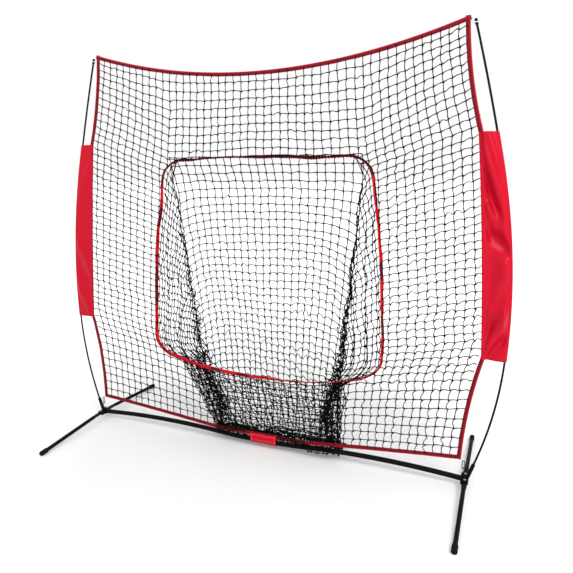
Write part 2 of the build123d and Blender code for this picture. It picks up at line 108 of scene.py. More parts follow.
def crossing(name, point, normal):
    """Where the plane through point, square to normal, cuts a CAD node's edges."""
    if name not in NODE_EDGES:
        NODE_EDGES[name] = node_edges(name)
    points, edges = NODE_EDGES[name]
    height = (points - np.array(point, float)) @ np.array(normal, float)
    a, b = edges[:, 0], edges[:, 1]
    cut = (height[a] <= 0) != (height[b] <= 0)
    a, b = a[cut], b[cut]
    share = height[a] / (height[a] - height[b])
    return points[a] + share[:, None] * (points[b] - points[a])


def profile(name, low, high, measure, axis=2, count=120):
    """measure() of a node's section at evenly spaced places along an axis, as an interpolated function."""
    inset = 1e-4
    places = np.linspace(low + inset, high - inset, count)
    normal = np.eye(3)[axis]
    values = [measure(crossing(name, normal * place, normal)) for place in places]
    return lambda place: np.interp(place, places, values)


def extreme_point(name, axis, sign):
    points, _ = node_edges(name)
    return points[np.argmax(sign * points[:, axis])]


TOP_CORNER = extreme_point("right_side_binding", 2, 1)
LOW_CORNER = extreme_point("right_side_binding", 2, -1)
TAPE_WIDTH = TOP_CORNER[0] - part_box("top_binding")[1].x

tape_x = profile("right_side_binding", LOW_CORNER[2], TOP_CORNER[2], lambda p: p[:, 0].max())
net_y = profile("front_net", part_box("front_net")[0].z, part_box("front_net")[1].z, lambda p: p[:, 1].mean())
strip_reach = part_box("top_binding")[1].x
top_strip = profile("top_binding", -strip_reach, strip_reach, lambda p: p[:, 2].max(), axis=0)
hem_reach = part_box("bottom_binding")[1].x
hem_strip = profile("bottom_binding", -hem_reach, hem_reach, lambda p: p[:, 2].min(), axis=0)


CORNER_RUN = 0.04         # next to a corner the side tape isn't read, because other tapes cross it
SLOPE_STEP = 0.03


def side_x(z):
    """Half the net's width at a height; near the corners, straight on from the tape's free run."""
    low, high = LOW_CORNER[2] + CORNER_RUN, TOP_CORNER[2] - CORNER_RUN
    inner = np.clip(z, low, high)
    below = (tape_x(low + SLOPE_STEP) - tape_x(low)) / SLOPE_STEP
    above = (tape_x(high) - tape_x(high - SLOPE_STEP)) / SLOPE_STEP
    return tape_x(inner) + np.where(z < low, below, above) * (z - inner)


def edge_height(x, strip, reach, corner):
    """Height of the net's upper or lower edge: its tape's, then straight on to the corner."""
    x = np.abs(x)
    past = np.clip((x - reach) / max(corner[0] - reach, 1e-6), 0, 1)
    return strip(np.minimum(x, reach)) + past * (corner[2] - strip(reach))


def top_z(x):
    return edge_height(x, top_strip, strip_reach, TOP_CORNER)


def hem_z(x):
    return edge_height(x, hem_strip, hem_reach, LOW_CORNER)


def read_mouth(count=240):
    """The middle of the mouth's tape: its centre, and its distance from there by angle."""
    low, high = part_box("mouth_binding")
    centre = np.array([0, 0, (low.z + high.z) / 2])
    angles = np.linspace(-math.pi, math.pi, count)
    reach = []
    for angle in angles:
        way = np.array([math.cos(angle), 0, math.sin(angle)])
        across = np.array([-math.sin(angle), 0, math.cos(angle)])
        out = (crossing("mouth_binding", centre, across) - centre) @ way
        out = out[out > 0]
        reach.append((out.min() + out.max()) / 2)
    return centre, angles, np.array(reach)


# The photo's mouth against the CAD's: degrees round it, spread in degrees, and metres outwards.
MOUTH_PULLS = (
    (60, 12, -0.012), (130, 10, -0.016), (4, 25, 0.010), (176, 25, 0.010),
    (-41, 9, -0.026), (148, 10, -0.018), (38, 9, -0.010), (222, 9, -0.014),
)


def pull_mouth(angles, reach):
    """The mouth's outline, drawn in or out at each of MOUTH_PULLS."""
    for place, spread, pull in MOUTH_PULLS:
        off = (np.degrees(angles) - place + 180) % 360 - 180
        reach = reach + pull * np.exp(-(off / spread) ** 2)
    return reach


MOUTH_CENTRE, MOUTH_ANGLES, plain_reach = read_mouth()
MOUTH_REACH = pull_mouth(MOUTH_ANGLES, plain_reach)
CREASE_X = 0.51           # where the net folds, up and down from the mouth's corners


def mouth_side(x, z):
    """How far a point lies outside the mouth's tape, measured from the mouth's centre."""
    dz = z - MOUTH_CENTRE[2]
    return np.hypot(x, dz) - np.interp(np.arctan2(dz, x), MOUTH_ANGLES, MOUTH_REACH)


def mouth_point(angle):
    reach = np.interp(angle, MOUTH_ANGLES, MOUTH_REACH)
    x, z = reach * np.cos(angle), MOUTH_CENTRE[2] + reach * np.sin(angle)
    return np.stack([x, net_y(z), z], -1)


def mouth_z(x, sign):
    """Height of the mouth's upper (sign 1) or lower (sign -1) edge at x."""
    loop = mouth_point(np.linspace(0, sign * math.pi, 400))
    order = np.argsort(loop[:, 0])
    return np.interp(x, loop[order, 0], loop[order, 2])


# ---- mesh making ----


class Draft:
    """Collects points and faces, each face with a material number, for one object."""

    def __init__(self):
        self.points, self.faces, self.slots, self.count = [], [], [], 0

    def add(self, points, faces, slot=0):
        self.points.append(np.asarray(points, float).reshape(-1, 3))
        self.faces += [[self.count + i for i in face] for face in faces]
        self.slots += [slot] * len(faces) if np.isscalar(slot) else list(slot)
        self.count += len(self.points[-1])

    def finish(self, name, materials, replaces=(), smooth=True):
        mesh = bpy.data.meshes.new(name)
        mesh.from_pydata(np.concatenate(self.points).tolist(), [], self.faces)
        for material in materials:
            mesh.materials.append(material)
        mesh.polygons.foreach_set("material_index", self.slots)
        mesh.polygons.foreach_set("use_smooth", [smooth] * len(self.faces))
        mesh.update()
        piece = new_object(name, mesh)
        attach(piece, FRAME_BODY)
        if replaces:
            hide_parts(*replaces)
        return piece


def unit(v):
    return v / np.maximum(np.linalg.norm(v, axis=-1, keepdims=True), 1e-12)


def tangents(path, closed=False):
    if closed:
        return unit(np.roll(path, -1, 0) - np.roll(path, 1, 0))
    return unit(np.gradient(path, axis=0))


def carried_normals(path, closed=False):
    """One direction square to the path at each point, turned as little as possible on the way."""
    along = tangents(path, closed)
    start = np.eye(3)[np.argmin(np.abs(along[0]))]
    normals = [unit(start - along[0] * (start @ along[0]))]
    for t in along[1:]:
        n = normals[-1] - t * (normals[-1] @ t)
        normals.append(unit(n))
    return along, np.array(normals)


def grid_faces(rows, columns, wrap_rows=False, wrap_columns=False):
    """Quads over a grid of points numbered row by row."""
    last_row, last_column = rows if wrap_rows else rows - 1, columns if wrap_columns else columns - 1
    i, j = np.meshgrid(np.arange(last_row), np.arange(last_column), indexing="ij")
    i2, j2 = (i + 1) % rows, (j + 1) % columns
    corners = [i * columns + j, i * columns + j2, i2 * columns + j2, i2 * columns + j]
    return np.stack(corners, -1).reshape(-1, 4).tolist()


def add_tube(draft, path, radius, sides=5, closed=False, slot=0):
    """A round tube along a path, with flat ends unless it is closed."""
    path = np.asarray(path, float)
    radius = (np.ones(len(path)) * radius)[:, None, None]
    along, first = carried_normals(path, closed)
    second = np.cross(along, first)
    turn = np.linspace(0, 2 * math.pi, sides, endpoint=False)[None, :, None]
    ring = first[:, None] * np.cos(turn) + second[:, None] * np.sin(turn)
    points = path[:, None] + radius * ring
    faces = grid_faces(len(path), sides, wrap_rows=closed, wrap_columns=True)
    if not closed:
        faces.append(list(range(sides))[::-1])
        faces.append([(len(path) - 1) * sides + k for k in range(sides)])
    draft.add(points, faces, slot)


def grid_rim(rows, columns):
    """The numbers of a grid's outer points, in order round it."""
    first, last = range(columns), range((rows - 1) * columns, rows * columns)
    left = [r * columns for r in range(1, rows - 1)]
    right = [r * columns + columns - 1 for r in range(1, rows - 1)]
    return [*first, *right, *reversed(last), *reversed(left)]


def thick_sheet(draft, grid, thick, slots):
    """A closed sheet of a thickness over a grid of points. slots gives each column's material."""
    rows, columns = grid.shape[:2]
    normal = unit(np.cross(np.gradient(grid, axis=1), np.gradient(grid, axis=0)))
    half = normal * thick / 2
    faces = grid_faces(rows, columns)
    front = [slots[face[0] % columns] for face in faces]
    shift, rim = rows * columns, grid_rim(rows, columns)
    back = [[shift + i for i in reversed(face)] for face in faces]
    edge = [[q, p, shift + p, shift + q] for p, q in zip(rim, rim[1:] + rim[:1])]
    kinds = front + front + [slots[0]] * len(edge)
    draft.add(np.stack([grid + half, grid - half]), faces + back + edge, kinds)


def icosahedron():
    g = (1 + math.sqrt(5)) / 2
    points = [(0, s, t * g) for s in (-1, 1) for t in (-1, 1)]
    points += [(s, t * g, 0) for s in (-1, 1) for t in (-1, 1)]
    points += [(t * g, 0, s) for s in (-1, 1) for t in (-1, 1)]
    points = unit(np.array(points, float))
    faces = []
    edge = min(np.linalg.norm(points[0] - p) for p in points[1:]) * 1.1
    for a in range(12):
        for b in range(a + 1, 12):
            for c in range(b + 1, 12):
                near = all(np.linalg.norm(points[p] - points[q]) < edge for p, q in ((a, b), (b, c), (a, c)))
                if near:
                    outward = np.cross(points[b] - points[a], points[c] - points[a]) @ points[a] > 0
                    faces.append([a, b, c] if outward else [a, c, b])
    return points, faces


KNOT_POINTS, KNOT_FACES = icosahedron()


def random_turn():
    q = unit(rng.normal(size=4))
    w, x, y, z = q
    return np.array([
        [1 - 2 * (y * y + z * z), 2 * (x * y - z * w), 2 * (x * z + y * w)],
        [2 * (x * y + z * w), 1 - 2 * (x * x + z * z), 2 * (y * z - x * w)],
        [2 * (x * z - y * w), 2 * (y * z + x * w), 1 - 2 * (x * x + y * y)],
    ])


def smooth_noise(points, scale, seed):
    """Three channels of smooth noise, each from about -1 to 1, with features of the given size."""
    offset = Vector((seed * 13.7, seed * 5.1, seed * 9.3))
    return np.array([noise.noise_vector(Vector(p) / scale + offset) for p in points])


# ---- netting ----

TWINE = 0.0024            # radius of the twine
KNOT = np.array([0.0050, 0.0042, 0.0056])
KNOT_SIZES = (0.8, 1.2)
JITTER_WAY = np.array([1, 0.7, 1])       # knots stray less in depth than along the net
RISE_WAY = np.array([0, 0.3, 1.0])       # a row's twine arches up and a little back
LEAN_WAY = np.array([1.0, 0.4, 0])       # a column's twine bows sideways


def add_knot(draft, at, size):
    draft.add(at + (KNOT_POINTS * KNOT * size) @ random_turn().T, KNOT_FACES)


def add_netting(draft, surface, columns, rows, keep=None, mask=None, jitter=0.003, rise=0.002, lean=0.003,
                skip_edges=False):
    """Knotted netting over surface(u, v), u and v from 0 to 1.

    keep(points) is above zero where there is netting, and strands end where it reaches zero.
    mask(u, v) says which knots there are; a strand that leaves them ends at the next place.
    rise lifts each row's twine between knots, and lean bows each column's twine sideways.
    Both can be functions of the knots' places. skip_edges leaves out the outermost strands.
    """
    u, v = np.meshgrid(np.linspace(0, 1, columns + 1), np.linspace(0, 1, rows + 1))
    u, v = u.ravel(), v.ravel()
    knots = surface(u, v)
    knots = knots + rng.normal(size=knots.shape) * jitter * JITTER_WAY
    inside = np.ones(len(knots), bool)
    if keep:
        inside = keep(knots) > 0
    if mask:
        inside = mask(u, v)
    knots, inside = knots.reshape(rows + 1, columns + 1, 3), inside.reshape(rows + 1, columns + 1)
    rises = rise(knots) if callable(rise) else np.full(inside.shape, rise)
    leans = lean(knots) if callable(lean) else np.full(inside.shape, lean)
    border = 1 if skip_edges else 0
    shown_rows, shown_columns = range(border, rows + 1 - border), range(border, columns + 1 - border)
    for j in shown_rows:
        add_strands(draft, knots[j], inside[j], rises[j], RISE_WAY, keep)
    for i in shown_columns:
        add_strands(draft, knots[:, i], inside[:, i], leans[:, i], LEAN_WAY, keep)
    for j in shown_rows:
        for i in shown_columns:
            if inside[j, i]:
                add_knot(draft, knots[j, i], rng.uniform(*KNOT_SIZES))


BOWS = ((0.22, 1.05), (0.5, 0.8), (0.78, 1.05))      # place between two knots, and thickness there
BOW_STRENGTHS, BOW_SKEW = (0.4, 1.6), 0.5            # how bows differ in height, and in balance
TWINE_SIZES, TWINE_AT_KNOT = (0.85, 1.15), 1.2       # how thickness varies, and how thick twine meets a knot


def add_strands(draft, knots, inside, bow, way, keep):
    """One line of twine through the knots, broken where there is no netting."""
    run, radii = [], []
    for k in range(len(knots) - 1):
        a, b = knots[k], knots[k + 1]
        if not (inside[k] or inside[k + 1]):
            continue
        if keep and not inside[k + 1]:
            b = edge_between(a, b, keep)
        if keep and not inside[k]:
            a = edge_between(b, a, keep)
        if not run:
            run.append(a)
            radii.append(TWINE)
        strength = bow[k] * rng.uniform(*BOW_STRENGTHS)
        skew = rng.normal() * BOW_SKEW
        for t, width in BOWS:
            swing = math.sin(math.pi * t) + skew * math.sin(2 * math.pi * t)
            run.append(a + (b - a) * t + way * strength * swing)
            radii.append(TWINE * width * rng.uniform(*TWINE_SIZES))
        run.append(b)
        radii.append(TWINE * TWINE_AT_KNOT)
        if not inside[k + 1]:
            add_tube(draft, run, np.array(radii))
            run, radii = [], []
    if run:
        add_tube(draft, run, np.array(radii))


HALVINGS = 12


def edge_between(inner, outer, keep):
    """The point between a kept and a dropped knot where the netting ends."""
    low, high = 0.0, 1.0
    for _ in range(HALVINGS):
        middle = (low + high) / 2
        if keep((inner + (outer - inner) * middle)[None])[0] > 0:
            low = middle
        else:
            high = middle
    return inner + (outer - inner) * low


# ---- the front net ----

NET_PITCH = 0.040
NET_COLUMNS, NET_ROWS = 48, 50
LOOSE_COLUMNS, LOOSE_TO = 35 / NET_COLUMNS, 0.5      # past this share of the half width they are drawn closer
MOUTH_TOP_ROW = 1 - 10 / NET_ROWS
MOUTH_LOW_ROW = 8.5 / NET_ROWS
EDGE_RISE = {1: 0.03, -1: 0.08}      # how much higher the net hangs at its sides than row by row
CREASES = ((1.90, 0.010), (1.60, 0.012), (0.80, 0.020), (0.52, 0.018))   # height at the edge, sideways jump
PINCH, PINCH_REACH = 0.014, 0.06     # how far a crease pulls rows down at the tape, and how near to it
BILLOW = 0.010


def edge_at(share):
    """A height on the side tape, by share of the way up."""
    return LOW_CORNER[2] + (TOP_CORNER[2] - LOW_CORNER[2]) * share


def front_surface(u, v):
    """The main net: rows hang level over and under the mouth, and climb to the side tapes."""
    across = np.interp(u, [0, LOOSE_COLUMNS, 1], [-1, LOOSE_TO, 1])
    edge_z = edge_at(v)
    edge_x = side_x(edge_z)
    x = across * (edge_x - TAPE_WIDTH / 2)
    out = np.abs(x)
    near = np.minimum(out, CREASE_X)
    share = np.clip((out - CREASE_X) / (edge_x - CREASE_X), 0, 1)
    lower, upper = (
        mouth_z(near, sign) * (1 - share) + (edge_at(row) + EDGE_RISE[sign]) * share
        for sign, row in ((-1, MOUTH_LOW_ROW), (1, MOUTH_TOP_ROW))
    )
    hem, top = hem_z(x) + TAPE_WIDTH / 2, top_z(x) - TAPE_WIDTH / 2
    above = np.clip((v - MOUTH_TOP_ROW) / (1 - MOUTH_TOP_ROW), 0, 1)
    level_upper, level_top = mouth_z(0, 1), top_z(0) - TAPE_WIDTH / 2
    fold = (1 - above ** 2) * (upper - level_upper) + above ** 2 * (top - level_top)
    z = np.select(
        [v < MOUTH_LOW_ROW, v < MOUTH_TOP_ROW],
        [
            hem + (lower - hem) * v / MOUTH_LOW_ROW,
            lower + (upper - lower) * (v - MOUTH_LOW_ROW) / (MOUTH_TOP_ROW - MOUTH_LOW_ROW),
        ],
        level_upper + (level_top - level_upper) * above + fold,
    )
    inward = np.sin(math.pi * np.clip(v, 0, 1)) * np.sin(math.pi * u)
    for height, jump in CREASES:
        off = (edge_z - height) / NET_PITCH
        step = np.tanh(off * 2) * np.exp(-np.abs(off) / 3)
        x = x + jump * step * share * np.sign(across) * np.clip(inward * 3, 0, 1)
        pinch = np.exp(-off ** 2 / 2) * np.exp(-((edge_x - out) / PINCH_REACH) ** 2)
        z = z - PINCH * pinch * np.clip(inward * 8, 0, 1)
    y = net_y(z) + BILLOW * inward * np.sin(5 * x + 3 * z)
    return np.stack([x, y, z], -1)


def outside_mouth(points):
    return mouth_side(points[:, 0], points[:, 2])


def front_lean(knots):
    """Columns of twine zigzag more where the net is slack, low on the right."""
    slack = np.clip((1.1 - knots[..., 2]) / 0.6, 0, 1) * np.clip(0.3 + knots[..., 0], 0, 1)
    return -(0.0015 + 0.0035 * slack)


def front_rise(knots):
    """Rows of twine arch between knots, most beside the mouth on the right."""
    z = knots[..., 2]
    slack = np.clip((1.7 - z) / 0.5, 0, 1) * np.clip((z - 0.45) / 0.15, -0.5, 1)
    return 0.0028 + 0.003 * np.clip(knots[..., 0] * 2, 0, 1) * slack


def make_front_net(twine_black):
    draft = Draft()
    add_netting(draft, front_surface, NET_COLUMNS, NET_ROWS, outside_mouth, jitter=0.0017, rise=front_rise,
                lean=front_lean, skip_edges=True)
    draft.finish("front_netting", [twine_black], ["front_net"])


# ---- the pocket ----

POCKET_TOP = mouth_z(0, 1)
POCKET_LOW = 0.026
POCKET_COLUMNS, POCKET_ROWS = 23, 38
POCKET_DROOP, POCKET_BELLY, POCKET_WAVE = 0.080, 0.020, 0.010
BACK_LOW = 0.12           # where the strip's back bends into its floor
STRIP_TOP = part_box("pocket_net")[1].z
strip_back = profile("pocket_net", BACK_LOW, STRIP_TOP, lambda p: p[:, 1].max())
strip_half = profile("pocket_net", 0.01, STRIP_TOP, lambda p: p[:, 0].max())
GUSSET_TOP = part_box("right_pocket_gusset")[1].z
seam_x = profile("right_pocket_gusset", 0.01, GUSSET_TOP, lambda p: p[np.argmin(p[:, 0]), 0])
seam_y = profile("right_pocket_gusset", 0.01, GUSSET_TOP, lambda p: p[np.argmin(p[:, 0]), 1])
BAG_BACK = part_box("pocket_net")[1].y
CORNER_ANGLE = {1: 49, -1: 131}          # degrees round the mouth to the corner that each seam starts from
BAG_ANGLE = {1: -49, -1: 227}            # and to the place where the bag leaves the mouth's lower edge
BAG_X, BAG_Y = {1: 0.43, -1: -0.27}, 0.03      # the bag's two ends, and its front behind the bar
BAG_Z = 0.02
RIM_STEPS, DROP_STEPS = 60, 12


def back_y(z):
    """Depth of the pocket's back, its lower end bulging behind the bar."""
    deep = np.where(z > BACK_LOW, strip_back(np.maximum(z, BACK_LOW + 0.001)), BAG_BACK - 0.004)
    return np.where(z > STRIP_TOP, net_y(z), deep)


def pocket_back(u, v):
    """The pocket's back panel: rows arch up between the gathered seams."""
    across = 2 * u - 1
    z = POCKET_TOP + (POCKET_LOW - POCKET_TOP) * v
    half = strip_half(np.minimum(z, STRIP_TOP))
    x = across * half
    droop = POCKET_DROOP * np.sin(math.pi * np.minimum(v * 1.1, 1)) ** 0.7
    z = z - droop * np.abs(across) ** 5 * np.clip(v * 6, 0, 1)
    wave = POCKET_WAVE * np.sin(9 * x + 6 * z) * np.clip(v * 3, 0, 1)
    y = back_y(z) + POCKET_BELLY * (1 - across ** 2) * np.sin(math.pi * v) + wave * 0.6
    z = np.maximum(z + wave * 0.5, POCKET_LOW)
    return np.stack([x, y, z], -1)


def pocket_slack(knots):
    """The pocket's rows arch more between knots the lower they are."""
    return 0.0015 + 0.0065 * np.clip((1.4 - knots[..., 2]) / 0.8, 0, 1)


def make_pocket_back(twine_black):
    draft = Draft()
    add_netting(draft, pocket_back, POCKET_COLUMNS, POCKET_ROWS, jitter=0.0022, rise=pocket_slack, lean=0.002)
    draft.finish("pocket_back_netting", [twine_black], ["pocket_net"])


def along_path(path):
    """Place on a path by share of its length, as a function of an array."""
    run = np.r_[0, np.cumsum(np.linalg.norm(np.diff(path, axis=0), axis=1))]
    return lambda share: np.stack([np.interp(share * run[-1], run, path[:, k]) for k in range(3)], -1)


def gusset_front(side):
    """From the mouth's corner down its side and round to the bag, then down to the floor."""
    angles = np.radians(np.linspace(CORNER_ANGLE[side], BAG_ANGLE[side], RIM_STEPS))
    rim = mouth_point((angles + math.pi) % (2 * math.pi) - math.pi)
    end = np.array([BAG_X[side], BAG_Y, BAG_Z])
    drop = rim[-1] + (end - rim[-1]) * np.linspace(0, 1, DROP_STEPS)[1:, None]
    return np.concatenate([rim, drop])


def bag_edge(side):
    """The last stretch of the gusset's front, from the mouth's rim down to the floor."""
    return along_path(gusset_front(side)[-DROP_STEPS:])


SEAM_SHIFT = {1: 0.08, -1: -0.05}        # how far the bunched seams lean inwards below the mouth
SEAM_SWAY = 0.004


def seam_line(side, count=90):
    """The gathered seam, from the mouth's corner down to the back of the bag."""
    z = np.linspace(GUSSET_TOP - 0.02, 0.05, count)
    points = np.stack([side * seam_x(z), seam_y(z) - SEAM_SWAY, z], -1)
    points[:, 0] += side * SEAM_SWAY * np.sin(z * 23) - SEAM_SHIFT[side] * np.clip((0.47 - z) / 0.3, 0, 1)
    corner = mouth_point(np.radians([CORNER_ANGLE[side]]))
    return np.concatenate([corner, points])


GUSSET_COLUMNS, GUSSET_ROWS = {"right": 13, "left": 19}, 40
GUSSET_DROP = 0.10        # how much lower, by share of its length, a row ends at the seam
GUSSET_PLEAT = {"sideways": 0.007, "back": 0.016}
GUSSET_STEPS = 80


def gusset_surface(side):
    """From the mouth's side back to the seam, pleated, its rows running steeply down to the seam.

    Columns keep their distance from the mouth, so the widening gusset gains them one by one.
    """
    front, seam = along_path(gusset_front(side)), along_path(seam_line(side))
    places = np.linspace(0, 1, GUSSET_STEPS)
    widths = np.linalg.norm(front(places) - seam(places), axis=1)
    widest = widths[:GUSSET_STEPS * 3 // 4].max()

    def share_across(u, v):
        return u * widest / np.maximum(np.interp(v, places, widths), 1e-3)

    def surface(u, v):
        u = np.minimum(share_across(u, v), 1)
        lower = np.clip(v + GUSSET_DROP * np.sin(math.pi * np.clip(v, 0, 1)) ** 0.6, 0, 1)
        points = front(v) * (1 - u)[:, None] + seam(lower) * u[:, None]
        pleat = np.sin(2 * math.pi * (u * 3 + v * 1.5)) * np.clip(v * 3, 0, 1) * np.sin(math.pi * u)
        points[:, 0] += side * GUSSET_PLEAT["sideways"] * pleat
        points[:, 1] += GUSSET_PLEAT["back"] * pleat
        return points

    return surface, lambda u, v: share_across(u, v) < 1


def make_gusset(name, side, columns, twine_black):
    draft = Draft()
    surface, mask = gusset_surface(side)
    add_netting(draft, surface, columns, GUSSET_ROWS, mask=mask, rise=0.004)
    draft.finish(name + "_gusset_netting", [twine_black], [name + "_pocket_gusset"])


LOWEST_TWINE = 0.014      # so that jittered knots stay above the floor


def crumpled(surface, size, amount, seed):
    """The same surface, pushed about by smooth noise with features of a size."""
    def bent(u, v):
        points = surface(u, v)
        push = smooth_noise(points, size, seed) * amount
        points = points + push * np.array([1, 0.8, 1])
        points[:, 2] = np.maximum(points[:, 2], LOWEST_TWINE)
        return points
    return bent


def bag_front(u, v):
    """Pocket netting between the mouth's lower edge and the floor behind the bar."""
    left, right = bag_edge(-1)(v), bag_edge(1)(v)
    points = left * (1 - u)[:, None] + right * u[:, None]
    middle = mouth_z(points[:, 0], -1)
    points[:, 2] += (middle - mouth_z(0.5, -1)) * (1 - v)
    points[:, 1] += 0.014 + 0.02 * v
    return points


def bag_side(side):
    """Netting crowded into the bag's side, its columns close together."""
    def surface(u, v):
        inward = -side * (0.02 + 0.10 * u * (1 - 0.3 * v))
        return bag_edge(side)(v) + np.stack([inward, 0.02 + 0.05 * u, 0.0 * u], -1)
    return surface


BUNCH_MORE, SPILL_LESS = 0.01, 0.01      # how far past, or short of, the bag's ends these pieces stop


def bag_place(u, more):
    """x along the bag, from its left end to its right one, each moved outwards by more."""
    return BAG_X[-1] - more + (BAG_X[1] - BAG_X[-1] + 2 * more) * u


def bag_floor(u, v):
    """Netting that lies folded on the floor, between the bar and the pocket's back."""
    x = bag_place(u, 0)
    y = BAG_Y + (BAG_BACK - BAG_Y * 1.5) * v
    z = 0.03 + 0.05 * (1 - v) ** 2 + 0.015 * np.sin(9 * x)
    return np.stack([x, y, z], -1)


BUNCH_AT = (0.036, 0.066)      # depth and height of the roll's middle, behind the bar
SPILL_AT, SPILL_DROP = (-0.019, 0.086), 0.034


def bag_bunch(u, v):
    """A roll of gathered netting that lies along the back of the bar."""
    turn = 2 * math.pi * v
    radius = 0.015 + 0.004 * np.sin(11 * u)
    y = BUNCH_AT[0] + radius * np.cos(turn)
    z = BUNCH_AT[1] + 0.008 * np.sin(8 * u + 1) + radius * np.sin(turn)
    return np.stack([bag_place(u, BUNCH_MORE), y, z], -1)


def bag_spill(u, v):
    """Loose meshes that hang forward over the hem's tape and the bar."""
    y = SPILL_AT[0] - 0.003 * np.sin(20 * u)
    z = SPILL_AT[1] + 0.012 * np.sin(13 * u) - SPILL_DROP * v
    return np.stack([bag_place(u, -SPILL_LESS), y, z], -1)


STRAP_MARGINS = (0.035, 0.015)           # left and right of the strap, free of loose meshes


def beside_strap(u, v):
    low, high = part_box("centre_strap")
    x = bag_spill(u, v)[:, 0]
    return (x < low.x - STRAP_MARGINS[0]) | (x > high.x + STRAP_MARGINS[1])


def make_bag(twine_black):
    draft = Draft()
    add_netting(draft, crumpled(bag_front, 0.12, 0.014, 1), 22, 9, rise=0.005)
    for side, columns, seed in ((-1, 4, 6), (1, 2, 6)):
        surface = crumpled(bag_side(side), 0.06, 0.016, seed)
        add_netting(draft, surface, columns, 13, jitter=0.004, rise=0.004, lean=0.004)
    add_netting(draft, crumpled(bag_floor, 0.05, 0.016, 3), 22, 6, jitter=0.006)
    add_netting(draft, crumpled(bag_bunch, 0.04, 0.014, 4), 34, 7, jitter=0.006)
    add_netting(draft, crumpled(bag_spill, 0.03, 0.008, 5), 34, 2, mask=beside_strap)
    draft.finish("pocket_bag_netting", [twine_black], ())


# ---- seams of the pocket ----

SEAM_STEPS = 180
SEAM_STRANDS = {"right": (8, (0.006, 0.065)), "left": (4, (0.022, 0.085))}    # count, least and most spread


SEAM_STARTS = (0.12, 0.55)               # where the first strand joins, and over what share the rest do
SEAM_WANDER = 0.004


def make_seam(name, side, twine_black, strands, spread):
    """A lacing cord with the gathered meshes bunched round it, more of them lower down."""
    def bunching(z):
        return spread[0] + (spread[1] - spread[0]) * np.clip((1.20 - z) / 0.8, 0, 1) ** 1.3

    draft = Draft()
    line = along_path(seam_line(side))(np.linspace(0, 1, SEAM_STEPS))
    add_tube(draft, line + smooth_noise(line, 0.05, side + 8) * SEAM_WANDER, TWINE * 0.8, 6)
    for k in range(strands):
        part = line[int(SEAM_STEPS * (SEAM_STARTS[0] + SEAM_STARTS[1] * k / strands)):]
        path = part + smooth_noise(part, 0.030, 20 + k + 31 * side) * bunching(part[:, 2])[:, None]
        add_tube(draft, path, TWINE * 0.9, 5)
    for _ in range(strands * 8):
        at = line[int(SEAM_STEPS * rng.triangular(0.05, 1, 1) * 0.999)]
        size = rng.uniform(0.8, 1.4)
        add_knot(draft, at + rng.normal(size=3) * bunching(at[2]) * 0.3, size)
    draft.finish(name + "_pocket_seam", [twine_black], ())


# ---- tapes ----

TAPE_THICK = 0.0008
# Half of a folded tape's section: share of its width in from the net's edge, and depth in metres.
FLAP = ((1.0, 0.0008), (0.72, 0.0013), (0.45, 0.0014))
FOLD = ((0.31, 0.0024), (0.12, 0.0026), (0.02, 0.0018))


def tape_section():
    """A folded tape's section, from the front flap's edge round the fold to the back one's."""
    front = FLAP + FOLD
    back = [(share, -depth) for share, depth in reversed(front)]
    return np.array([*front, (0.0, 0.0), *back])


TAPE_RIPPLE = {"width": 0.06, "lift": 0.0012}


def add_tape(draft, path, inward, width, seed):
    """A tape folded over the net's edge, its fold in the first material and its flaps in the second: the fold
    painted lit and the flaps painted in shade.
    """
    section = tape_section()
    along = tangents(path)
    inward = unit(inward - along * (inward * along).sum(-1, keepdims=True))
    facing = unit(np.cross(along, inward))
    facing *= np.sign(-facing[:, 1:2])
    ripple = smooth_noise(path, 0.05, seed)
    reach = width * (1 + TAPE_RIPPLE["width"] * ripple[:, :1])
    lift = TAPE_RIPPLE["lift"] * ripple[:, 1:2] * np.array([0, 1, 0])
    grid = path[:, None] + inward[:, None] * section[None, :, :1] * reach[:, None]
    grid = grid + facing[:, None] * section[None, :, 1:] + lift[:, None]
    # The flaps take slot 1, the darker red of painted shade, and the fold takes slot 0, the lighter red of
    # painted light.
    flaps = np.abs(np.arange(len(section) - 1) - len(section) / 2 + 0.5) > len(FOLD)
    thick_sheet(draft, grid, TAPE_THICK, [int(flap) for flap in flaps])


def path_length(path):
    return float(np.linalg.norm(np.diff(path, axis=0), axis=1).sum())


THREAD, THREAD_PROUD = 0.00045, 0.0004      # a stitch's radius, and how far its middle stands out


def add_stitches(draft, path, inward, depth, offset, slot, step=0.007, length=0.0042):
    """A row of short threads on the face of a tape."""
    base = path + inward * offset + np.array([0, -1, 0]) * depth
    total = path_length(base)
    starts = np.arange(step, total - step, step)
    place = along_path(base)
    for start, end in zip(place(starts / total), place((starts + length) / total)):
        middle = (start + end) / 2 - np.array([0, THREAD_PROUD, 0])
        add_tube(draft, [start, middle, end], THREAD, 4, slot=slot)


def edge_path(kind, count=220):
    """The net's outline: the top, the hem, or the right side."""
    if kind == "top":
        x = np.linspace(-TOP_CORNER[0], TOP_CORNER[0], count)
        z = top_z(x)
    elif kind == "hem":
        x = np.linspace(-LOW_CORNER[0], LOW_CORNER[0], count)
        z = hem_z(x)
    else:
        z = np.linspace(LOW_CORNER[2], TOP_CORNER[2], count)
        x = side_x(z)
    return np.stack([x, net_y(z), z], -1)


STITCH_ROWS = (0.5, 0.86)      # of a folded tape's width, from the net's edge


def make_tape(name, path, inward, width, replaces, materials, seed):
    """A folded tape with two rows of stitches: one along its middle, one by the net."""
    draft = Draft()
    inward = np.broadcast_to(inward, path.shape)
    add_tape(draft, path, inward, width, seed)
    for share in STITCH_ROWS:
        add_stitches(draft, path, inward, 0.0021, share * width, 2)
    piece = draft.finish(name, materials, replaces)
    path_length(path)


